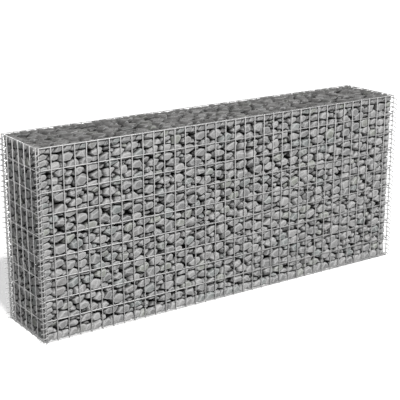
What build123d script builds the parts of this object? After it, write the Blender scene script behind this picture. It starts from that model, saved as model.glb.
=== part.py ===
import os
from math import cos, radians, sin, sqrt

from build123d import *

os.makedirs("parts", exist_ok=True)

# Driving sizes in millimetres, with the long side along X, the front at -Y and the ground at Z 0
wire = 4
binder_wire = 4
column_pitch = 50
row_pitch = 86
long_columns = 36
end_columns = 6
rows = 9
base_long_columns = 18
base_end_columns = 3
turns_per_row = 4
binder_play = 1.2
coil_sides = 3
coil_steps = 5
facing_depth = 60
top_course = 55
rim_drop = 2
cobble_pitch = 70
cobble_rise = 17
cobble_slope = 45
seat_gap = 0.3

# Each mesh is an outer layer of upright wires and an inner layer of level wires
mesh_depth = 2 * wire
corner_reach = mesh_depth + seat_gap
front_width = long_columns * column_pitch + wire
end_width = end_columns * column_pitch + wire
height = rows * row_pitch + wire
length = front_width + 2 * corner_reach
depth = end_width + 2 * corner_reach

base_long_pitch = long_columns * column_pitch / base_long_columns
base_end_pitch = end_columns * column_pitch / base_end_columns

# The stones lie just inside the wall meshes, on the base mesh
fill_height = height - rim_drop - mesh_depth
core_length = front_width - 2 * facing_depth
core_depth = end_width - 2 * facing_depth
core_height = fill_height - top_course
cobble_columns = round(core_length / cobble_pitch)
cobble_rows = round(core_depth / cobble_pitch)
cobble_length = core_length / cobble_columns
cobble_depth = core_depth / cobble_rows

# A binder winds round the edge wires of two walls from the ground to the rim, and dips between
# the stones and the corner
coil_section = 0.6 * binder_wire
coil_inset = wire
coil_radius = corner_reach + binder_wire + binder_play
coil_turns = rows * turns_per_row
coil_pitch = (height - binder_wire) / coil_turns
coil_step = 360 / coil_steps
coil_clearance = (coil_radius + coil_section + binder_play) * sqrt(2) - 2 * (corner_reach - coil_inset)


def along(count, pitch):
    """Centres of count + 1 wires at the given pitch, either side of the middle."""
    return [(i - count / 2) * pitch for i in range(count + 1)]


def wall_mesh(columns):
    """A welded wall panel that stands in the XZ plane, its outer face at Y 0."""
    width = columns * column_pitch + wire
    with BuildPart() as panel:
        with BuildSketch(Plane.XZ.offset(-wire)):
            with Locations([(x, height / 2) for x in along(columns, column_pitch)]):
                Rectangle(wire, height)
        extrude(amount=wire)
        with BuildSketch(Plane.XZ.offset(-mesh_depth)):
            with Locations([(0, wire / 2 + i * row_pitch) for i in range(rows + 1)]):
                Rectangle(width, wire)
        extrude(amount=wire)
    return panel.part


def coil():
    """A binder round the Z axis that passes inside the corner half-way between two turns."""
    turns = [(i + 0.5) * coil_step for i in range(coil_turns * coil_steps)]
    points = [
        (
            coil_radius * cos(radians(225 + turn)),
            coil_radius * sin(radians(225 + turn)),
            binder_wire / 2 + turn / 360 * coil_pitch,
        )
        for turn in turns
    ]
    outward = (points[0][0] + points[1][0], points[0][1] + points[1][1], 0)
    with BuildPart() as binder:
        with BuildLine() as path:
            Polyline(*points)
        with BuildSketch(Plane(origin=points[0], x_dir=outward, z_dir=path.line % 0)):
            RegularPolygon(coil_section, coil_sides)
        sweep(path=path.line, transition=Transition.RIGHT)
    return binder.part


# Front wall mesh
with BuildPart() as front_mesh_panel:
    add(wall_mesh(long_columns).locate(Location((0, -depth / 2, 0))))
front_mesh_panel.part.label = "front_mesh_panel"
export_step(front_mesh_panel.part, "parts/front_mesh_panel.step")

# Back wall mesh
with BuildPart() as back_mesh_panel:
    add(wall_mesh(long_columns).locate(Location((0, depth / 2, 0), (0, 0, 180))))
back_mesh_panel.part.label = "back_mesh_panel"
export_step(back_mesh_panel.part, "parts/back_mesh_panel.step")

# End wall meshes
with BuildPart() as left_end_mesh_panel:
    add(wall_mesh(end_columns).locate(Location((-length / 2, 0, 0), (0, 0, -90))))
left_end_mesh_panel.part.label = "left_end_mesh_panel"
export_step(left_end_mesh_panel.part, "parts/left_end_mesh_panel.step")

with BuildPart() as right_end_mesh_panel:
    add(wall_mesh(end_columns).locate(Location((length / 2, 0, 0), (0, 0, 90))))
right_end_mesh_panel.part.label = "right_end_mesh_panel"
export_step(right_end_mesh_panel.part, "parts/right_end_mesh_panel.step")

# Base mesh, with its long wires on the ground and its cross wires over them
with BuildPart() as base_mesh_panel:
    with BuildSketch():
        with Locations([(0, y) for y in along(base_end_columns, base_end_pitch)]):
            Rectangle(front_width, wire)
    extrude(amount=wire)
    with BuildSketch(Plane.XY.offset(wire)):
        with Locations([(x, 0) for x in along(base_long_columns, base_long_pitch)]):
            Rectangle(wire, end_width)
    extrude(amount=wire)
base_mesh_panel.part.label = "base_mesh_panel"
export_step(base_mesh_panel.part, "parts/base_mesh_panel.step")

# Corner binders, all of one hand, each turned to face its corner
binder = coil()
binder_x, binder_y = length / 2 - coil_inset, depth / 2 - coil_inset

with BuildPart() as front_left_binder:
    add(binder.moved(Location((-binder_x, -binder_y, 0))))
front_left_binder.part.label = "front_left_binder"
export_step(front_left_binder.part, "parts/front_left_binder.step")

with BuildPart() as front_right_binder:
    add(binder.moved(Location((binder_x, -binder_y, 0), (0, 0, 90))))
front_right_binder.part.label = "front_right_binder"
export_step(front_right_binder.part, "parts/front_right_binder.step")

with BuildPart() as back_right_binder:
    add(binder.moved(Location((binder_x, binder_y, 0), (0, 0, 180))))
back_right_binder.part.label = "back_right_binder"
export_step(back_right_binder.part, "parts/back_right_binder.step")

with BuildPart() as back_left_binder:
    add(binder.moved(Location((-binder_x, binder_y, 0), (0, 0, 270))))
back_left_binder.part.label = "back_left_binder"
export_step(back_left_binder.part, "parts/back_left_binder.step")

# Facing stones, packed flat behind each mesh, with the corners left free for the binders
with BuildPart() as front_facing_stones:
    with Locations((0, -(end_width - facing_depth) / 2, mesh_depth)):
        Box(front_width, facing_depth, fill_height, align=(Align.CENTER, Align.CENTER, Align.MIN))
    chamfer(front_facing_stones.faces().sort_by(Axis.Y)[0].edges().filter_by(Axis.Z), coil_clearance)
front_facing_stones.part.label = "front_facing_stones"
export_step(front_facing_stones.part, "parts/front_facing_stones.step")

with BuildPart() as back_facing_stones:
    with Locations((0, (end_width - facing_depth) / 2, mesh_depth)):
        Box(front_width, facing_depth, fill_height, align=(Align.CENTER, Align.CENTER, Align.MIN))
    chamfer(back_facing_stones.faces().sort_by(Axis.Y)[-1].edges().filter_by(Axis.Z), coil_clearance)
back_facing_stones.part.label = "back_facing_stones"
export_step(back_facing_stones.part, "parts/back_facing_stones.step")

with BuildPart() as left_end_facing_stones:
    with Locations((-(front_width - facing_depth) / 2, 0, mesh_depth)):
        Box(facing_depth, core_depth, fill_height, align=(Align.CENTER, Align.CENTER, Align.MIN))
left_end_facing_stones.part.label = "left_end_facing_stones"
export_step(left_end_facing_stones.part, "parts/left_end_facing_stones.step")

with BuildPart() as right_end_facing_stones:
    with Locations(((front_width - facing_depth) / 2, 0, mesh_depth)):
        Box(facing_depth, core_depth, fill_height, align=(Align.CENTER, Align.CENTER, Align.MIN))
right_end_facing_stones.part.label = "right_end_facing_stones"
export_step(right_end_facing_stones.part, "parts/right_end_facing_stones.step")

# Loose fill between the facings, under a top course
with BuildPart() as core_stones:
    with Locations((0, 0, mesh_depth)):
        Box(core_length, core_depth, core_height, align=(Align.CENTER, Align.CENTER, Align.MIN))
core_stones.part.label = "core_stones"
export_step(core_stones.part, "parts/core_stones.step")

# The stones that show at the top rise in low mounds, side by side
with BuildPart() as cobble:
    with BuildSketch():
        Rectangle(cobble_length, cobble_depth)
    extrude(amount=cobble_rise, taper=cobble_slope)

with BuildPart() as top_stones:
    with Locations((0, 0, mesh_depth + core_height)):
        Box(core_length, core_depth, top_course - cobble_rise, align=(Align.CENTER, Align.CENTER, Align.MIN))
    with Locations((0, 0, mesh_depth + fill_height - cobble_rise)):
        with GridLocations(cobble_length, cobble_depth, cobble_columns, cobble_rows):
            add(cobble.part)
top_stones.part.label = "top_stones"
export_step(top_stones.part, "parts/top_stones.step")
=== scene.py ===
# %% [markdown]
# # A gabion wall
# A gabion is a basket of welded wire mesh, bound at its corners and filled with stones. The
# stones carry the weight and the wire holds them in. This notebook dresses a plain CAD model of
# one: every wire, binder and stone is made here at its real size, and then given its finish.

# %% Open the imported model
import math

import bmesh
import bpy
import numpy as np
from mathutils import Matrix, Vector


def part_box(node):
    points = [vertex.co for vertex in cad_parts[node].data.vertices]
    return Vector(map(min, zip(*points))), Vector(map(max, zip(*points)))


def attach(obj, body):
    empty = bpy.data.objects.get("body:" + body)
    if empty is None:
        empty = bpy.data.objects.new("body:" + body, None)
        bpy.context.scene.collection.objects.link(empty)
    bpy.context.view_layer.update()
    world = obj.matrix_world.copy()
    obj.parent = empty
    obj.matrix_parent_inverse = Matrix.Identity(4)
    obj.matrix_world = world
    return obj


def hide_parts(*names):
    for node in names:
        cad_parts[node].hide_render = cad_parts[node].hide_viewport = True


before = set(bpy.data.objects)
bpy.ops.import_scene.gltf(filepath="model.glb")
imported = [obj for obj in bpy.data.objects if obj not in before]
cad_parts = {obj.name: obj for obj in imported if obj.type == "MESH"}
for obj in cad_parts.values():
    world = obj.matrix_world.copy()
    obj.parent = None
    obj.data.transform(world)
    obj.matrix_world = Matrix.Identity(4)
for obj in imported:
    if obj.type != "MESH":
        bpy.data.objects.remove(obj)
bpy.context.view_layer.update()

# %% [markdown]
# ## Sizes
# All lengths are in metres. The boxes of the CAD nodes give the place of each mesh and of the
# stones, so only the wire, the number of openings and the stones' own sizes are written here.

# %% Sizes
WIRE = 0.004
LONG_COLUMNS, END_COLUMNS, ROWS = 36, 6, 9
TURNS_PER_ROW = 4

front_lo, front_hi = (np.array(corner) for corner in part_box("front_mesh_panel"))
end_lo, end_hi = (np.array(corner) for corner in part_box("left_end_mesh_panel"))
stones_lo = np.array(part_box("front_facing_stones")[0])
stones_hi = np.array(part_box("back_facing_stones")[1])
core_lo, core_hi = (np.array(corner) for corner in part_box("core_stones"))

HEIGHT = front_hi[2]
ROW_PITCH = (HEIGHT - WIRE) / ROWS
COLUMN_PITCH = (front_hi[0] - front_lo[0] - WIRE) / LONG_COLUMNS
CORNER_X, CORNER_Y = end_lo[0], front_lo[1]
print(f"openings {COLUMN_PITCH * 1000:.1f} by {ROW_PITCH * 1000:.1f} mm, rim at {HEIGHT:.3f} m")

# %% [markdown]
# ## Making meshes from arrays
# Thousands of small things are quickest to make as arrays of points and faces that are joined
# before Blender sees them. `join` stacks such arrays, and `piece` turns the stack into an object
# that rides on the wall's one body and stands for the CAD node it replaces.

# %% Joined meshes
def join(parts):
    """One (points, faces) pair from many."""
    points, faces, first = [], [], 0
    for some_points, some_faces in parts:
        points.append(some_points)
        faces += [[first + i for i in face] for face in some_faces]
        first += len(some_points)
    return np.concatenate(points), faces


def piece(name, mesh_parts, material, slot, *nodes, marks=None, normals=None):
    """A smooth object from joined parts, with marks for its material and normals of its own."""
    points, faces = join(mesh_parts)
    mesh = bpy.data.meshes.new(name)
    mesh.from_pydata(points.tolist(), [], faces)
    mesh.shade_smooth()
    if normals is not None:
        mesh.normals_split_custom_set_from_vertices(normals.tolist())
    for mark, values in (marks or {}).items():
        mesh.attributes.new(mark, "FLOAT", "POINT").data.foreach_set("value", values)
    mesh.materials.append(material)
    made = bpy.data.objects.new(name, mesh)
    bpy.context.scene.collection.objects.link(made)
    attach(made, "root")
    if nodes:
        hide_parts(*nodes)
    print(f"{name}: {sum(len(face) - 2 for face in faces)} triangles")
    return made


# %% [markdown]
# ## Shader maths
# A material is easier to read as sums than as a web of boxes. `Value` wraps the output of a node,
# and its operators add Math nodes. `Graph` adds every other kind of node in one way: its type,
# then its settings, then the values or links of its sockets. It serves the world as well as the
# materials, since both are drawn by nodes.

# %% Values and graphs
class Value:
    """A number that varies over a surface, written as in ordinary maths."""

    def __init__(self, graph, socket):
        self.graph, self.socket = graph, socket

    def maths(self, operation, *others):
        sockets = dict(enumerate((self, *others)))
        return self.graph.add("ShaderNodeMath", {"operation": operation}, sockets)

    def __add__(self, other):
        return self.maths("ADD", other)

    def __sub__(self, other):
        return self.maths("SUBTRACT", other)

    def __rsub__(self, other):
        return (self * -1) + other

    def __mul__(self, other):
        return self.maths("MULTIPLY", other)

    __radd__, __rmul__ = __add__, __mul__

    def limited(self):
        return self.maths("MAXIMUM", 0).maths("MINIMUM", 1)


class Graph:
    """The nodes of a new material or world, added one by one."""

    def __init__(self, owner):
        owner.use_nodes = True
        self.owner, self.tree = owner, owner.node_tree
        self.tree.nodes.clear()

    def add(self, kind, settings=None, sockets=None, output=0):
        node = self.tree.nodes.new(kind)
        for name, setting in (settings or {}).items():
            setattr(node, name, setting)
        for key, given in (sockets or {}).items():
            if isinstance(given, Value):
                self.tree.links.new(given.socket, node.inputs[key])
            else:
                node.inputs[key].default_value = given
        return Value(self, node.outputs[output]) if node.outputs else None

    def mark(self, name):
        return self.add("ShaderNodeAttribute", {"attribute_name": name}, output="Fac")

    def noise(self, scale, detail=3.0, roughness=0.55):
        place = self.add("ShaderNodeTexCoord", output="Object")
        sockets = {"Vector": place, "Scale": scale, "Detail": detail}
        return self.add("ShaderNodeTexNoise", {}, {**sockets, "Roughness": roughness})

    def between(self, value, low, high):
        """0 below low and 1 above high, with a smooth step between them."""
        sockets = {"Value": value, "From Min": low, "From Max": high}
        return self.add("ShaderNodeMapRange", {"interpolation_type": "SMOOTHSTEP"}, sockets)

    def mix(self, factor, first, second):
        """A blend of two colours."""
        sockets = {"Factor": factor, 6: first, 7: second}
        return self.add("ShaderNodeMix", {"data_type": "RGBA"}, sockets, output=2)

    def bump(self, height, distance):
        sockets = {"Height": height, "Distance": distance, "Strength": 1.0}
        return self.add("ShaderNodeBump", {}, sockets)

    def surface(self, **sockets):
        named = {name.replace("_", " "): given for name, given in sockets.items()}
        return self.finished(self.add("ShaderNodeBsdfPrincipled", {}, named))

    def finished(self, shader, end="ShaderNodeOutputMaterial"):
        """The material or world, once its shader has reached its output."""
        self.add(end, {}, {"Surface": shader})
        print(f"{self.owner.name}: {len(self.tree.nodes)} nodes")
        return self.owner


def grey(level, warm=0.0):
    """A near-neutral linear colour."""
    return (level * (1 + warm), level, level * (1 - warm), 1.0)


# %% [markdown]
# ## Galvanised wire
# Hot-dip zinc is a dull, pale grey. It cools in faint crystals called spangle, and it weathers
# unevenly, so its colour and shine both wander along the wire. A Voronoi texture gives the
# crystals and a soft noise the weathering.

# %% Zinc
def zinc():
    graph = Graph(bpy.data.materials.new("galvanised_zinc"))
    spangle = graph.add(
        "ShaderNodeTexVoronoi", {"feature": "F1"}, {"Scale": 260.0}, output="Color"
    )
    crystals = graph.add("ShaderNodeRGBToBW", {}, {"Color": spangle})
    weather = graph.noise(18.0, 4.0)
    grime = graph.between(graph.noise(70.0, 3.0), 0.56, 0.74)
    colour = graph.mix(graph.between(weather, 0.35, 0.65), grey(0.38), grey(0.48, 0.01))
    colour = graph.mix(0.25 * crystals, colour, grey(0.56))
    colour = graph.mix(0.35 * grime, colour, grey(0.27, 0.04))
    return graph.surface(
        Base_Color=colour,
        Metallic=0.55,
        Roughness=0.42 + 0.14 * weather + 0.1 * grime,
        Normal=graph.bump(crystals + graph.noise(900.0, 2.0), 0.00008),
    )


zinc_finish = zinc()

# %% [markdown]
# ## Round wires
# A wire is a tube along a path. A ring of points is set square to the path at each of its points,
# and neighbouring rings are joined by quads. Straight wires need two rings, and a coil needs
# enough of them to look round. Each end is closed by a slightly smaller ring and a cap, as a
# cropped wire has no sharp rim.

# %% Tubes
WIRE_SIDES = 10
CROP = 0.0004


def tube(path, radius, sides=WIRE_SIDES):
    """A closed tube along a path of points, with its ends a little rounded off."""
    path = np.asarray(path, float)
    along = np.gradient(path, axis=0)
    along /= np.linalg.norm(along, axis=1)[:, None]
    start, stop = path[0], path[-1]
    path = np.vstack([start, path[:1] + along[0] * CROP, path[1:-1], stop - along[-1] * CROP, stop])
    along = np.vstack([along[:1], along, along[-1:]])
    radii = np.full(len(path), radius)
    radii[[0, -1]] = radius - CROP
    side = np.cross(along, (0.31, 0.95, 0.12) if abs(along[0][1]) < 0.9 else (1, 0, 0.2))
    side /= np.linalg.norm(side, axis=1)[:, None]
    across = np.cross(along, side)
    angles = np.arange(sides) * 2 * math.pi / sides
    cosines, sines = np.cos(angles)[None, :, None], np.sin(angles)[None, :, None]
    ring = cosines * side[:, None] + sines * across[:, None]
    points = (path[:, None] + radii[:, None, None] * ring).reshape(-1, 3)
    faces = []
    for first in range(0, (len(path) - 1) * sides, sides):
        for i in range(sides):
            after = (i + 1) % sides
            faces.append([first + i, first + after, first + sides + after, first + sides + i])
    last = (len(path) - 1) * sides
    return points, faces + [list(range(sides))[::-1], list(range(last, last + sides))]


sample_points, sample_faces = tube([(0, 0, 0), (0, 0, HEIGHT)], WIRE / 2)
print(f"a straight wire has {len(sample_points)} points and {len(sample_faces)} faces")

# %% [markdown]
# ## Ball directions
# A weld leaves a bead, which is a small flattened ball. A cube whose faces are divided evenly and
# blown up to a ball has quads of nearly equal size and no poles, so it shades well. Each point is
# only a direction here: the size of the bead comes with the mesh.

# %% Cube ball
def cube_ball(steps):
    """Unit directions over a ball, and the quads between them."""
    found, points, faces = {}, [], []

    def corner(x, y, z):
        if (x, y, z) not in found:
            found[x, y, z] = len(points)
            bent = [math.tan((2 * c / steps - 1) * math.pi / 4) for c in (x, y, z)]
            points.append(bent)
        return found[x, y, z]

    for axis in range(3):
        for end in (0, steps):
            for i in range(steps):
                for j in range(steps):
                    square = [(i, j), (i + 1, j), (i + 1, j + 1), (i, j + 1)]
                    quad = [corner(*np.roll((end, a, b), axis)) for a, b in square]
                    faces.append(quad if end else quad[::-1])
    points = np.array(points)
    return points / np.linalg.norm(points, axis=1)[:, None], faces


bead_points, bead_faces = cube_ball(2)
print(f"a bead has {len(bead_points)} points and {len(bead_faces)} faces")

# %% [markdown]
# ## Welded mesh
# The mesh is made flat by a machine: level wires are laid across upright ones and every crossing
# is welded by a pulse of current, which sinks the wires into each other by part of their
# thickness and leaves a small bead. The upright wires are outside, so they look unbroken.

# %% Mesh panels
WELD_SINK = 0.0006
BEAD = np.array((0.0031, 0.0022, 0.0031))


def wires_at(count, pitch):
    return (np.arange(count + 1) - count / 2) * pitch


def welded_mesh(columns_at, rows_at, ends_x, ends_z):
    """A mesh that stands in the XZ plane with its outer side at Y 0, as mesh parts."""
    outer, inner = WIRE / 2, WIRE * 1.5 - WELD_SINK
    parts = [tube([(x, outer, ends_z[0]), (x, outer, ends_z[1])], WIRE / 2) for x in columns_at]
    parts += [tube([(ends_x[0], inner, z), (ends_x[1], inner, z)], WIRE / 2) for z in rows_at]
    middle = (outer + inner) / 2
    parts += [
        (bead_points * BEAD + (x, middle, z), bead_faces)
        for x in columns_at[1:-1]
        for z in rows_at[1:-1]
    ]
    return parts


def turned(parts, turn, place):
    """Parts turned by a rotation matrix and moved to a place."""
    return [(points @ np.array(turn).T + place, faces) for points, faces in parts]


def about_z(quarter_turns):
    angle = quarter_turns * math.pi / 2
    c, s = round(math.cos(angle)), round(math.sin(angle))
    return ((c, -s, 0), (s, c, 0), (0, 0, 1))


rows_at = WIRE / 2 + np.arange(ROWS + 1) * ROW_PITCH
long_half, end_half = front_hi[0], end_hi[1]
long_mesh = welded_mesh(
    wires_at(LONG_COLUMNS, COLUMN_PITCH), rows_at, (-long_half, long_half), (0, HEIGHT)
)
end_mesh = welded_mesh(
    wires_at(END_COLUMNS, COLUMN_PITCH), rows_at, (-end_half, end_half), (0, HEIGHT)
)
walls = {
    "front_mesh_panel": (long_mesh, 0, (0, CORNER_Y, 0)),
    "back_mesh_panel": (long_mesh, 2, (0, -CORNER_Y, 0)),
    "left_end_mesh_panel": (end_mesh, 3, (CORNER_X, 0, 0)),
    "right_end_mesh_panel": (end_mesh, 1, (-CORNER_X, 0, 0)),
}
for node, (mesh, quarters, place) in walls.items():
    parts = turned(mesh, about_z(quarters), place)
    piece(f"{node}_wires", parts, zinc_finish, "galvanised_wire", node)

# %% [markdown]
# ## Base mesh
# The base is the same kind of mesh laid flat, with its long wires on the ground and its cross
# wires over them. It is the wall mesh tipped over, so that the side that faced out faces down.

# %% Base
base_lo, base_hi = (np.array(corner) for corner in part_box("base_mesh_panel"))
BASE_LONG_COLUMNS, BASE_END_COLUMNS = 18, 3
TIPPED = ((0, 0, 1), (1, 0, 0), (0, 1, 0))
base_long_wires = wires_at(BASE_END_COLUMNS, (base_hi[1] - base_lo[1] - WIRE) / BASE_END_COLUMNS)
base_cross_wires = wires_at(BASE_LONG_COLUMNS, (base_hi[0] - base_lo[0] - WIRE) / BASE_LONG_COLUMNS)
base_mesh = welded_mesh(
    base_long_wires, base_cross_wires, (base_lo[1], base_hi[1]), (base_lo[0], base_hi[0])
)
base_parts = turned(base_mesh, TIPPED, (0, 0, 0))
piece("base_mesh_panel_wires", base_parts, zinc_finish, "galvanised_wire", "base_mesh_panel")

# %% [markdown]
# ## Corner binders
# A spiral of wire is screwed down each corner, round the edge wires of the two meshes that meet
# there. It makes four turns to an opening and dips inside the corner between two level wires, so
# it never meets one. The path is a plain helix, sampled finely, that starts on the outer side,
# and each end is cropped a tenth of a turn short.

# %% Binders
COIL_RADIUS, COIL_WIRE, COIL_INSET = 0.0126, 0.0034, 0.004
COIL_SAMPLES, COIL_SIDES, COIL_CROP = 22, 8, 0.1


def binder_path(turns, pitch):
    """A helix round the Z axis that dips towards +X and +Y half-way between two turns."""
    turn = np.linspace(COIL_CROP, turns - COIL_CROP, int(turns * COIL_SAMPLES))
    angle = math.radians(225) + turn * 2 * math.pi
    height = WIRE / 2 + turn * pitch
    return np.stack([COIL_RADIUS * np.cos(angle), COIL_RADIUS * np.sin(angle), height], axis=1)


helix = binder_path(ROWS * TURNS_PER_ROW, ROW_PITCH / TURNS_PER_ROW)
binder = tube(helix, COIL_WIRE / 2, COIL_SIDES)
axis_x, axis_y = -CORNER_X - COIL_INSET, -CORNER_Y - COIL_INSET
corners = {
    "front_left_binder": (0, (-axis_x, -axis_y, 0)),
    "front_right_binder": (1, (axis_x, -axis_y, 0)),
    "back_right_binder": (2, (axis_x, axis_y, 0)),
    "back_left_binder": (3, (-axis_x, axis_y, 0)),
}
for node, (quarters, place) in corners.items():
    parts = turned([binder], about_z(quarters), place)
    piece(f"{node}_coil", parts, zinc_finish, "galvanised_wire", node)

# %% [markdown]
# ## Where the stones lie
# Packed stones could be dropped in by a physics run, which is slow and leaves them loose. Here
# they share out the space instead. One point per stone is thrown onto a shell just inside the
# meshes, points that are too close are refused, and the rest push each other apart until they
# are evenly spread. Distances are measured in a squashed space, so that the stones come out
# longer along one slanting direction, as the real ones lie.
#
# The lowest stones reach down between the base wires, to hide the slit under them. They also
# reach about 3 mm into the cross wires there, which real stones could not do.

# %% The stones' room and lie
SHELL_DEPTH = 0.021
RIM_DROP, BASE_LIFT = 0.002, 0.0045
LIE = np.array((0.88, -0.32, 0.29))
STRETCH = 1.95

stones_lo[2], stones_hi[2] = BASE_LIFT, HEIGHT - RIM_DROP

lie = LIE / np.linalg.norm(LIE)
stretched = np.eye(3) - (1 - 1 / STRETCH) * np.outer(lie, lie)
shell_lo, shell_hi = stones_lo + SHELL_DEPTH, stones_hi - SHELL_DEPTH


def onto_shell(points):
    """The nearest place of each point on the shell."""
    points = np.clip(points, shell_lo, shell_hi)
    below, above = points - shell_lo, shell_hi - points
    axis = np.minimum(below, above).argmin(axis=1)
    row = np.arange(len(points))
    low = below[row, axis] < above[row, axis]
    points[row, axis] = np.where(low, shell_lo[axis], shell_hi[axis])
    return points


print("the stones' shell is", (shell_hi - shell_lo).round(3), "m")

# %% [markdown]
# Stones of a similar size look sorted, and a real load is not. So each throw draws its width from
# a few, and later rounds throw small stones into the gaps that the large ones left.

# %% Throwing and pushing
rng = np.random.default_rng(86)
STONE_SIZE = 0.0288
REFUSED_WITHIN = 0.46
PUSHED_WITHIN, PUSH = 0.66, 0.16
AT_ONCE = 300


def scattered(tries, points, spread, choices, odds):
    """Adds random places on the shell that keep their distance, each with a size for its stone."""
    size = shell_hi - shell_lo
    areas = np.repeat([size[1] * size[2], size[0] * size[2], size[0] * size[1]], 2)
    sides = rng.choice(6, tries, p=areas / areas.sum())
    throws = shell_lo + rng.random((tries, 3)) * size
    for side in range(6):
        throws[sides == side, side // 2] = (shell_lo, shell_hi)[side % 2][side // 2]
    points, spread = list(points), list(spread)
    taken = np.empty((len(points) + tries, 4))
    for i, (point, width) in enumerate(zip(points, spread)):
        taken[i] = (*(stretched @ point), width)
    for throw, width in zip(throws, STONE_SIZE * rng.choice(choices, tries, p=odds)):
        here, others = stretched @ throw, taken[: len(points)]
        away = np.sqrt(((others[:, :3] - here) ** 2).sum(axis=1))
        if (away > REFUSED_WITHIN * (others[:, 3] + width)).all():
            taken[len(points)] = (*here, width)
            points.append(throw)
            spread.append(width)
    return np.array(points), np.array(spread)


def pushed_apart(points, spread, held, rounds):
    """Even spacing, by pushing all but the first few apart and sliding them back onto the shell."""
    unstretched = np.linalg.inv(stretched).T
    for _ in range(rounds):
        flat = points @ stretched.T
        moves = []
        for first in range(0, len(points), AT_ONCE):
            some = slice(first, first + AT_ONCE)
            apart = flat[some, None] - flat[None]
            away = np.sqrt((apart**2).sum(axis=2)) + 1e-9
            wanted = PUSHED_WITHIN * (spread[some, None] + spread[None])
            push = np.where(away > 1e-6, np.maximum(wanted - away, 0) / away, 0)
            moves.append((push[..., None] * apart).sum(axis=1) * PUSH)
        moved = onto_shell(points + np.concatenate(moves) @ unstretched)
        points = np.vstack([points[:held], moved[held:]])
    return points


# %% [markdown]
# The edges of the basket come first, because a gap there would show the floor beyond it. These
# rows are never pushed.

# %% Stones along the edges
CHINK_INSET, CHINK_LENGTH, CHINK_HEIGHT = 0.0135, 0.036, 0.027
CHINK_STRAY, CHINK_SIZE = 0.16, 0.85


def chinks():
    """A row of small stones along each edge of the basket, close in behind its wires."""
    lo, hi = stones_lo + CHINK_INSET, stones_hi - CHINK_INSET
    rows = []
    for axis, step in enumerate((CHINK_LENGTH, CHINK_LENGTH, CHINK_HEIGHT)):
        first, second = (axis + 1) % 3, (axis + 2) % 3
        ends_in = step if axis < 2 else 0
        for a in (lo[first], hi[first]):
            for b in (lo[second], hi[second]):
                count = round((hi[axis] - lo[axis] - 2 * ends_in) / step)
                row = np.empty((count + 1, 3))
                row[:, axis] = np.linspace(lo[axis] + ends_in, hi[axis] - ends_in, count + 1)
                row[1:-1, axis] += step * rng.uniform(-CHINK_STRAY, CHINK_STRAY, count - 1)
                row[:, first], row[:, second] = a, b
                rows.append(row)
    return np.concatenate(rows)


centres = chinks()
edge_stones = len(centres)
spread = np.full(edge_stones, STONE_SIZE * CHINK_SIZE)
print(f"{edge_stones} stones along the edges")

# %% Stones over the faces
THROWS = 12000
WIDTHS, ODDS = (0.86, 0.96, 1.02, 1.08, 1.16), (0.12, 0.26, 0.32, 0.2, 0.1)
SMALL_WIDTHS, SMALL_ODDS = (0.55, 0.65), (0.5, 0.5)
TINY_WIDTHS, TINY_ODDS = (0.42, 0.48), (0.5, 0.5)
ROUNDS, SMALL_ROUNDS = 24, 12

centres, spread = scattered(THROWS, centres, spread, WIDTHS, ODDS)
centres = pushed_apart(centres, spread, edge_stones, ROUNDS)
placed = len(centres)
centres, spread = scattered(THROWS, centres, spread, SMALL_WIDTHS, SMALL_ODDS)
centres = pushed_apart(centres, spread, edge_stones, SMALL_ROUNDS)
centres, spread = scattered(THROWS, centres, spread, TINY_WIDTHS, TINY_ODDS)
print(f"{placed} stones and {len(centres) - placed} small ones between them")

# %% [markdown]
# ## One stone's shape
# A crushed stone has flat sides and knocked edges. Each stone keeps to its own side of a plane
# half-way to each near neighbour, so the gaps between them stay narrow. Those planes are tilted a
# little, so that the sides of a gap are seldom parallel. The price is that a few stones in a
# hundred cut slightly into a neighbour, by 2.3 mm at the most that was measured.

# %% Planes between neighbours
NEIGHBOURS = 22
GAP, SIDE_TILT = 0.0040, 0.12
GAP_WIDTHS, GAP_ODDS = (0.5, 1.0, 1.6), (0.4, 0.4, 0.2)
LOOSER = 0.8


def neighbour_planes(some, facing, chance):
    """Planes half-way to the nearest neighbours, as normals and distances, for a few stones."""
    flat = centres @ stretched.T
    apart = flat[None] - flat[some, None]
    away = np.linalg.norm(apart, axis=2)
    nearest = np.argsort(away, axis=1)[:, 1 : NEIGHBOURS + 1]
    row = np.arange(len(nearest))[:, None]
    apart, away = apart[row, nearest], away[row, nearest]
    share = spread[some, None] / (spread[some, None] + spread[nearest])
    normals = (apart / away[..., None]) @ stretched
    size = np.linalg.norm(normals, axis=2)
    gaps = 0.5 * GAP * chance.choice(GAP_WIDTHS, nearest.shape, p=GAP_ODDS)
    gaps *= 1 + LOOSER * (1 - np.abs(facing[:, 1:2]))
    normals, distances = normals / size[..., None], share * away / size - gaps
    tilted = normals + SIDE_TILT * chance.uniform(-1, 1, normals.shape)
    tilted /= np.linalg.norm(tilted, axis=2)[..., None]
    return tilted, distances * (tilted * normals).sum(axis=2)


print(f"{NEIGHBOURS} planes to a stone, with gaps of {GAP * 1000:.0f} mm in the middle of the range")

# %% [markdown]
# Further planes keep a stone behind the wires and off the corner binders. The top is left uneven,
# as nothing presses it flat, except along the rim, where low stones would open a slit.

# %% Planes at the basket's sides
WIRE_CLEARANCE, CORNER_CLEARANCE = 0.0004, 0.0088
SIDE_UNEVEN, TOP_UNEVEN, RIM_EVENNESS = 0.004, 0.018, 0.15
ON_SHELL = 0.004


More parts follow.
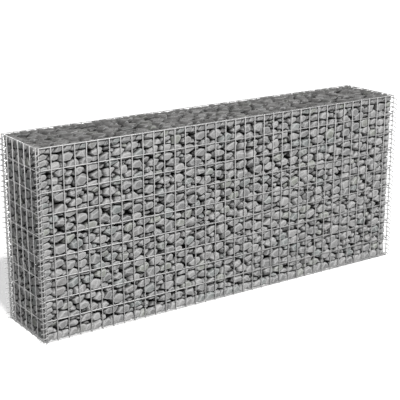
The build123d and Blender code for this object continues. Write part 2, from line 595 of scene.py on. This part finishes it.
def outer_planes(some, chance):
    """The stones' shared limits: the six sides of the basket and its four corners."""
    here = centres[some]
    sides = np.vstack([np.eye(3), -np.eye(3)])
    room = np.hstack([stones_hi - here, here - stones_lo])
    uneven = np.full(6, SIDE_UNEVEN)
    uneven[2] = TOP_UNEVEN
    inset = WIRE_CLEARANCE + uneven * chance.random(room.shape) ** 2
    inset[some < edge_stones, 2] *= RIM_EVENNESS
    corner_normals = np.array([(x, y, 0) for x in (-1, 1) for y in (-1, 1)]) / math.sqrt(2)
    reach = np.abs(corner_normals) @ stones_hi - CORNER_CLEARANCE
    corner_room = reach - here @ corner_normals.T
    normals = np.vstack([sides, corner_normals])
    distances = np.hstack([room - inset, corner_room])
    return np.repeat(normals[None], len(here), axis=0), distances


def outward(some):
    """Which way each stone faces: out of the side, or sides, of the shell it lies on."""
    here = centres[some]
    facing = (here > shell_hi - ON_SHELL).astype(float) - (here < shell_lo + ON_SHELL)
    return facing / np.linalg.norm(facing, axis=1)[:, None]


print(f"stones stay {WIRE_CLEARANCE * 1000:.1f} mm behind the wires")

# %% [markdown]
# The last planes are the stone's own. One tilts its outer face and one closes its back, eight go
# round its outline so that it is seldom square, and a few random ones are chips.

# %% A stone's own planes
STONE_DEPTH = 0.024
OUTLINE_SIDES, CHIPS = 8, 4
FACE_TILT, BACK_TILT, OUTLINE_TILT = 0.2, 0.3, 0.25
OUTLINE_STRAY, CHIPS_OUTWARD = 0.35, 0.7
FACE_DEPTHS, BACK_DEPTHS = (0.9, 1.2), (1.0, 1.3)
OUTLINE_SHARES, CHIP_SHARES = (0.50, 0.62), (0.5, 0.72)


def chips(some, facing, chance):
    """Planes of the stone's own: a tilted outer face, a back, sides round its outline, and chips."""
    many = len(facing)
    tilt = facing + FACE_TILT * chance.normal(size=(many, 3))
    back = -facing + BACK_TILT * chance.normal(size=(many, 3))
    across = np.cross(facing, lie)
    across /= np.linalg.norm(across, axis=1)[:, None]
    onward = np.cross(across, facing)
    stray = chance.uniform(-OUTLINE_STRAY, OUTLINE_STRAY, (many, OUTLINE_SIDES))
    turns = np.arange(OUTLINE_SIDES) + stray
    angles = (turns * 2 * math.pi / OUTLINE_SIDES)[..., None]
    around = np.cos(angles) * across[:, None] + np.sin(angles) * onward[:, None]
    leaning = OUTLINE_TILT * chance.normal(size=(many, OUTLINE_SIDES, 1))
    around = around + leaning * facing[:, None]
    knocks = chance.normal(size=(many, CHIPS, 3)) + CHIPS_OUTWARD * facing[:, None]
    normals = np.concatenate([tilt[:, None], back[:, None], around, knocks], axis=1)
    normals /= np.linalg.norm(normals, axis=2)[..., None]
    half = spread[some, None] * np.linalg.norm(normals[:, 2:] @ np.linalg.inv(stretched), axis=2)
    outline = chance.uniform(*OUTLINE_SHARES, (many, OUTLINE_SIDES))
    chipped = chance.uniform(*CHIP_SHARES, (many, CHIPS))
    face = STONE_DEPTH * chance.uniform(*FACE_DEPTHS, (many, 1))
    rear = STONE_DEPTH * chance.uniform(*BACK_DEPTHS, (many, 1))
    return normals, np.hstack([face, rear, half * np.hstack([outline, chipped])])


print(f"{2 + OUTLINE_SIDES + CHIPS} planes of each stone's own")


# %% [markdown]
# The stone itself is sawn from a block. `bisect_plane` cuts it along each plane that reaches it,
# and a new face closes the cut, so it stays solid throughout.

# %% Sawn blocks
BLOCK, TOUCHING = 0.3, 1e-5


def sawn_block(normals, distances):
    """A convex block round the origin that is left when the part beyond each plane is sawn off."""
    block = bmesh.new()
    bmesh.ops.create_cube(block, size=BLOCK)
    for nearest in np.argsort(distances):
        normal, distance = Vector(normals[nearest]), float(distances[nearest])
        if max(corner.co.dot(normal) for corner in block.verts) < distance + TOUCHING:
            continue
        whole = block.verts[:] + block.edges[:] + block.faces[:]
        cut = bmesh.ops.bisect_plane(
            block, geom=whole, plane_co=normal * distance, plane_no=normal, clear_outer=True
        )
        rim = [part for part in cut["geom_cut"] if isinstance(part, bmesh.types.BMEdge)]
        bmesh.ops.edgeloop_fill(block, edges=rim)
    block.normal_update()
    for face in block.faces:
        if face.normal.dot(face.calc_center_median()) < 0:
            face.normal_flip()
    return block


# %% [markdown]
# A Bevel modifier could round its edges, but it narrows every bevel to suit the shortest edge.
# Here each face is shrunk a little in its own plane instead. A strip then joins the shrunk faces
# across every edge, and a small face closes every corner.

# %% Knocked edges
KNOCK, KNOCK_SHARE = (0.0020, 0.0040), 0.42
ROUNDNESS, DENT = 0.3, 0.0008


def knocked(block, width, dent):
    """The block with its edges and corners knocked off: points, faces, normals, and an edge mark for
    wear and a painted highlight.
    """
    points, normals, wear_and_highlight, faces, at = [], [], [], [], {}
    for face in block.faces:
        middle = face.calc_center_median()
        for loop in face.loops:
            inward = middle - loop.vert.co
            share = min(width / max(inward.length, 1e-6), KNOCK_SHARE)
            at[loop] = len(points)
            points.append(loop.vert.co + inward * share)
            normals.append(face.normal + ROUNDNESS * points[-1].normalized())
            wear_and_highlight.append(1.0)
        rim = [at[loop] for loop in face.loops]
        faces += [[rim[i - 1], rim[i], len(points)] for i in range(len(rim))]
        points.append(middle - face.normal * dent)
        normals.append(face.normal + ROUNDNESS * middle.normalized())
        wear_and_highlight.append(-1.0)
    for edge in block.edges:
        one, other = edge.link_loops
        faces.append([at[one.link_loop_next], at[one], at[other.link_loop_next], at[other]])
    for corner in block.verts:
        loop, rim = corner.link_loops[0], []
        for _ in corner.link_loops:
            rim.append(at[loop])
            loop = loop.link_loop_prev.link_loop_radial_next
        faces.append(rim)
    return np.array(points), faces, np.array(normals), wear_and_highlight


sample = sawn_block(np.eye(3), np.full(3, 0.02))
print(f"a block sawn three times has {len(knocked(sample, KNOCK[0], DENT)[1])} faces once knocked")
sample.free()

# %% [markdown]
# A finish needs to know where it is on a stone, so each point carries four marks. Shade is one
# random number per stone. The wear and highlight mark is high along the edges and low in the middle
# of a face. Depth is the way to the nearest side of the basket, and the top shade mark is high on
# what faces up near the rim. The finish turns the edge mark into paler edges, partly wear and partly
# a painted highlight, and depth and the top shade mark into painted shade.

# %% Stones with their marks
LEAST_HALF = 0.003
# How far below the rim, and how steeply facing up, a point gets painted shade on top.
TOP_SHADE_REACH, TOP_SHADE_SLOPE = 0.05, 1.6
INSIDE_DEPTH = 0.06


def stones(some, seed):
    """Mesh parts of some stones, with the normals and marks of their points."""
    chance = np.random.default_rng(seed)
    facing = outward(some)
    between = neighbour_planes(some, facing, chance)
    planes = (between, outer_planes(some, chance), chips(some, facing, chance))
    normals = np.concatenate([pair[0] for pair in planes], axis=1)
    distances = np.concatenate([pair[1] for pair in planes], axis=1)
    distances = np.maximum(distances, LEAST_HALF)
    shades, knocks = chance.random(len(some)), chance.uniform(*KNOCK, len(some))
    parts, all_normals = [], []
    marks = {"shade": [], "wear_and_highlight": [], "depth": [], "top_shade": []}
    for i, stone in enumerate(some):
        block = sawn_block(normals[i], distances[i])
        points, faces, point_normals, wear_and_highlight = knocked(block, knocks[i], chance.uniform(0, DENT))
        block.free()
        points += centres[stone]
        parts.append((points, faces))
        all_normals.append(point_normals)
        near_rim = np.clip(1 - (stones_hi[2] - points[:, 2]) / TOP_SHADE_REACH, 0, 1)
        marks["shade"].append(np.full(len(points), shades[i]))
        marks["wear_and_highlight"].append(wear_and_highlight)
        marks["depth"].append(np.minimum(points - stones_lo, stones_hi - points).min(axis=1))
        # Upward faces near the rim are marked for painted shade in the finish.
        marks["top_shade"].append(near_rim * np.clip(TOP_SHADE_SLOPE * point_normals[:, 2], 0, 1))
    return parts, all_normals, marks


def stone_piece(name, chosen, material, *nodes, extra=()):
    """The chosen stones as one mesh, with any extra parts, which lie deep inside."""
    parts, normals, marks = stones(chosen, int(chosen[0]) + 1)
    added = sum(len(points) for points, faces in extra)
    # Extra parts take the deepest depth mark, so the finish paints them near-black as painted shade.
    inner = {"shade": 0.0, "wear_and_highlight": 0.0, "depth": INSIDE_DEPTH, "top_shade": 0.0}
    for mark, lists in marks.items():
        marks[mark] = np.concatenate([*lists, np.full(added, inner[mark])])
    normals = np.concatenate([*normals, np.zeros((added, 3))])
    parts += list(extra)
    return piece(name, parts, material, "granite", *nodes, marks=marks, normals=normals)


# %% [markdown]
# ## Granite
# The stones are broken grey granite: each has a shade of its own, a few lean green, violet or
# yellow, and all carry dark and pale grains. Edges are paler, partly as rubbed wear and partly as a
# painted highlight. Painted shade darkens the sides that face into the wall, deep in the gaps, and
# the upward faces of the stones at the rim. The shade mark is one random number per stone, and
# Blender's White Noise turns it into as many others as the finish needs.

# %% Stone finish
def granite():
    graph = Graph(bpy.data.materials.new("grey_granite"))
    shade, wear_and_highlight, depth = graph.mark("shade"), graph.mark("wear_and_highlight"), graph.mark("depth")

    def drawn(step):
        sockets = {"W": shade * 97.0 + step}
        return graph.add("ShaderNodeTexWhiteNoise", {"noise_dimensions": "1D"}, sockets)

    tone, hue, patchiness = drawn(1.0), drawn(2.0), drawn(3.0)
    colour = graph.mix(graph.between(tone, 0.0, 1.0), grey(0.23), grey(0.43, 0.01))
    colour = graph.mix(0.6 * graph.between(hue, 0.80, 0.81), colour, (0.21, 0.25, 0.24, 1))
    colour = graph.mix(0.6 * graph.between(hue, 0.89, 0.90), colour, (0.36, 0.37, 0.31, 1))
    colour = graph.mix(0.5 * graph.between(hue, 0.96, 0.97), colour, (0.30, 0.27, 0.30, 1))
    clouds = graph.noise(45.0, 5.0)
    colour = graph.mix(0.5 * graph.between(clouds, 0.5, 0.72), colour, grey(0.42))
    colour = graph.mix(0.45 * graph.between(clouds, 0.48, 0.3), colour, grey(0.10))
    grains = graph.noise(420.0, 3.0, 0.7)
    colour = graph.mix(0.6 * graph.between(grains, 0.6, 0.68), colour, grey(0.62))
    colour = graph.mix(0.6 * graph.between(grains, 0.42, 0.34), colour, grey(0.06))
    # Paler edges: partly rubbed wear, partly a painted highlight.
    worn_and_highlit_edges = graph.between(wear_and_highlight + 0.4 * clouds, 0.6, 1.3)
    colour = graph.mix(0.52 * worn_and_highlit_edges, colour, grey(0.62))
    # Painted shade: the upward faces of the stones near the rim are darkened.
    top_shade = graph.between(graph.mark("top_shade") + 0.35 * clouds, 0.3, 0.9)
    colour = graph.mix(0.82 * top_shade, colour, grey(0.06, 0.04))
    # Painted shade: points deep between the stones, and the core mass, are darkened nearly to black.
    inside = graph.between(depth + 0.012 * clouds, 0.010, 0.026)
    colour = graph.mix(0.9 * inside, colour, grey(0.025, 0.05))
    relief = graph.noise(150.0, 6.0, 0.65)
    return graph.surface(
        Base_Color=colour,
        Roughness=0.82 + 0.12 * patchiness,
        Normal=graph.bump(relief + 0.35 * grains, 0.0022),
    )


granite_finish = granite()

# %% [markdown]
# ## Laying the stones
# The front, back, ends and top of the basket are pieces of their own, as in the CAD model. The
# two long faces hold the most stones, so each is made in two halves to keep its mesh light.

# %% Faces and top
along_wall, across_wall, up_wall = centres.T
front = across_wall < core_lo[1]
back = across_wall > core_hi[1]
left = ~front & ~back & (along_wall < core_lo[0])
right = ~front & ~back & (along_wall > core_hi[0])
top = ~front & ~back & ~left & ~right & (up_wall > core_hi[2])
bottom = ~front & ~back & ~left & ~right & ~top

for name, mask, node in (
    ("front_stones_left_half", front & (along_wall < 0), "front_facing_stones"),
    ("front_stones_right_half", front & (along_wall >= 0), "front_facing_stones"),
    ("back_stones_left_half", back & (along_wall < 0), "back_facing_stones"),
    ("back_stones_right_half", back & (along_wall >= 0), "back_facing_stones"),
    ("left_end_stones", left, "left_end_facing_stones"),
    ("right_end_stones", right, "right_end_facing_stones"),
    ("top_layer_stones", top, "top_stones"),
):
    stone_piece(name, np.flatnonzero(mask), granite_finish, node)

# %% [markdown]
# ## The middle of the wall
# Nothing inside can be seen except as darkness behind the gaps. The bottom layer of stones is
# made as the rest are, and the fill above it is one lumpy mass whose surface rises between the
# backs of the outer stones, so that no gap looks right through the wall. The mass is painted
# near-black all over, as painted shade.

# %% Core
MASS_COVER, TOP_COVER = 0.046, 0.022
MASS_CELL, MASS_LUMP = 0.018, 0.008
WAVES, WAVE_CELLS = 5, 4


def lumpy_mass(lo, hi, cell, lump):
    """A box of small quads whose points are moved in by slow waves, as one mesh part."""
    size = hi - lo
    steps = np.maximum((size / cell).astype(int), 2)
    found, points, faces = {}, [], []

    def corner(key):
        if key not in found:
            found[key] = len(points)
            points.append(lo + size * np.array(key) / steps)
        return found[key]

    for axis in range(3):
        first, second = (axis + 1) % 3, (axis + 2) % 3
        for end in (0, int(steps[axis])):
            for i in range(steps[first]):
                for j in range(steps[second]):
                    quad = []
                    for a, b in ((i, j), (i + 1, j), (i + 1, j + 1), (i, j + 1)):
                        key = [0, 0, 0]
                        key[axis], key[first], key[second] = end, a, b
                        quad.append(corner(tuple(key)))
                    faces.append(quad if end else quad[::-1])
    points = np.array(points)
    middle = (lo + hi) / 2
    phases = points @ rng.normal(size=(3, WAVES)) * 2 * math.pi / cell / WAVE_CELLS
    waves = np.sin(phases + rng.random(WAVES) * 6.3).mean(axis=1)
    inward = np.sign(middle - points) * (np.abs(points - middle) > size / 2 - 1e-6)
    return points + inward * (lump * (0.5 + waves))[:, None], faces


mass_lo, mass_hi = stones_lo + MASS_COVER, stones_hi - (MASS_COVER, MASS_COVER, TOP_COVER)
heart = lumpy_mass(mass_lo, mass_hi, MASS_CELL, MASS_LUMP)
deepest = np.flatnonzero(bottom)
stone_piece("core_fill_stones", deepest, granite_finish, "core_stones", extra=[heart])

# %% [markdown]
# ## Floor
# The wall stands on a plain white floor that catches its shadow. The floor glows a little to the
# camera, so that the lamps need not bring it to white by themselves. Light Path tells the camera's
# rays from those that carry light, so the floor can look white and still throw little light up at
# the stones.

# %% Floor
FLOOR_SIZE, FLOOR_GLOW = 60.0, 0.3


def seen_rays(graph):
    """1 for the rays that show the background: the camera's, and those off metal or through glass."""
    camera_ray, glossy_ray, clear_ray = (
        graph.add("ShaderNodeLightPath", output=f"Is {kind} Ray")
        for kind in ("Camera", "Glossy", "Transmission")
    )
    return (camera_ray + glossy_ray + clear_ray).limited()


def white_floor():
    graph = Graph(bpy.data.materials.new("white_floor"))
    seen = seen_rays(graph)
    return graph.surface(
        Base_Color=graph.mix(seen, grey(0.3), grey(0.92)),
        Roughness=1.0,
        Emission_Color=graph.mix(seen, grey(0.0), grey(1.0)),
        Emission_Strength=FLOOR_GLOW,
    )


half = FLOOR_SIZE / 2
floor_corners = [(-half, -half, 0), (half, -half, 0), (half, half, 0), (-half, half, 0)]
floor_mesh = bpy.data.meshes.new("floor")
floor_mesh.from_pydata(floor_corners, [], [(0, 1, 2, 3)])
floor_mesh.materials.append(white_floor())
floor = bpy.data.objects.new("floor", floor_mesh)
bpy.context.scene.collection.objects.link(floor)
print(f"floor {FLOOR_SIZE:.0f} m wide")

# %% [markdown]
# ## Sky
# A pale sky fills the shade between the stones. It has to be dim, or the gaps would not look deep,
# and yet the background has to be white. The same ray test gives it both strengths.

# %% Sky
SKY_LIGHT = 0.13


def pale_sky():
    graph = Graph(bpy.data.worlds.new("pale_sky"))
    shade = graph.add("ShaderNodeBackground", {}, {"Color": grey(1.0), "Strength": SKY_LIGHT})
    white = graph.add("ShaderNodeBackground", {}, {"Color": grey(1.0), "Strength": 1.0})
    blend = graph.add("ShaderNodeMixShader", {}, {0: seen_rays(graph), 1: shade, 2: white})
    return graph.finished(blend, "ShaderNodeOutputWorld")


bpy.context.scene.world = pale_sky()

# %% [markdown]
# ## Lamps
# One lamp above the front does most of the work: its small angle keeps the stones' edges crisp. A
# wide one low behind the wall keeps its back from going dark. Both are suns, whose light does not
# fade with distance, so the far end of the wall is lit as the near one is.

# %% Key and fill lights
def soft_sun(name, strength, spread_angle, towards_light):
    """A sun lamp, whose light comes from one direction all over the scene."""
    lamp = bpy.data.lights.new(name, "SUN")
    lamp.energy, lamp.angle = strength, math.radians(spread_angle)
    placed = bpy.data.objects.new(name, lamp)
    placed.rotation_mode = "QUATERNION"
    placed.rotation_quaternion = Vector(towards_light).to_track_quat("Z", "Y")
    bpy.context.scene.collection.objects.link(placed)
    print(f"{name}: {strength} over {spread_angle} degrees")


soft_sun("front_key", 3.55, 6, (-0.12, -0.68, 0.72))
soft_sun("back_fill", 2.5, 40, (0.45, 0.85, 0.28))

# %% [markdown]
# ## Camera
# The camera looks at a point inside the wall from the front left and a little above. A long lens
# from four and a half metres keeps the far end from shrinking much: it stands about four fifths
# as tall in the picture as the near end.

# %% Camera
AZIMUTH, ELEVATION, DISTANCE, LENS = -34.56, 16.65, 4.593, 95.9
AIM = Vector((-0.070, 0.0, 0.402))
azimuth, elevation = math.radians(AZIMUTH), math.radians(ELEVATION)
back_way = Vector((
    math.sin(azimuth) * math.cos(elevation),
    -math.cos(azimuth) * math.cos(elevation),
    math.sin(elevation),
))
camera_data = bpy.data.cameras.new("camera")
camera_data.lens, camera_data.sensor_width = LENS, 36.0
camera = bpy.data.objects.new("camera", camera_data)
bpy.context.scene.collection.objects.link(camera)
camera.location = AIM + back_way * DISTANCE
camera.rotation_mode = "QUATERNION"
camera.rotation_quaternion = back_way.to_track_quat("Z", "Y")
bpy.context.scene.camera = camera
bpy.context.scene.view_settings.view_transform = "Standard"
print("camera at", tuple(round(c, 3) for c in camera.location))

# %% [markdown]
# ## Last update
# The made wall has to lie inside the CAD model's box. At the end the scene is brought up to date.

# %% Bring the scene up to date
bpy.context.view_layer.update()
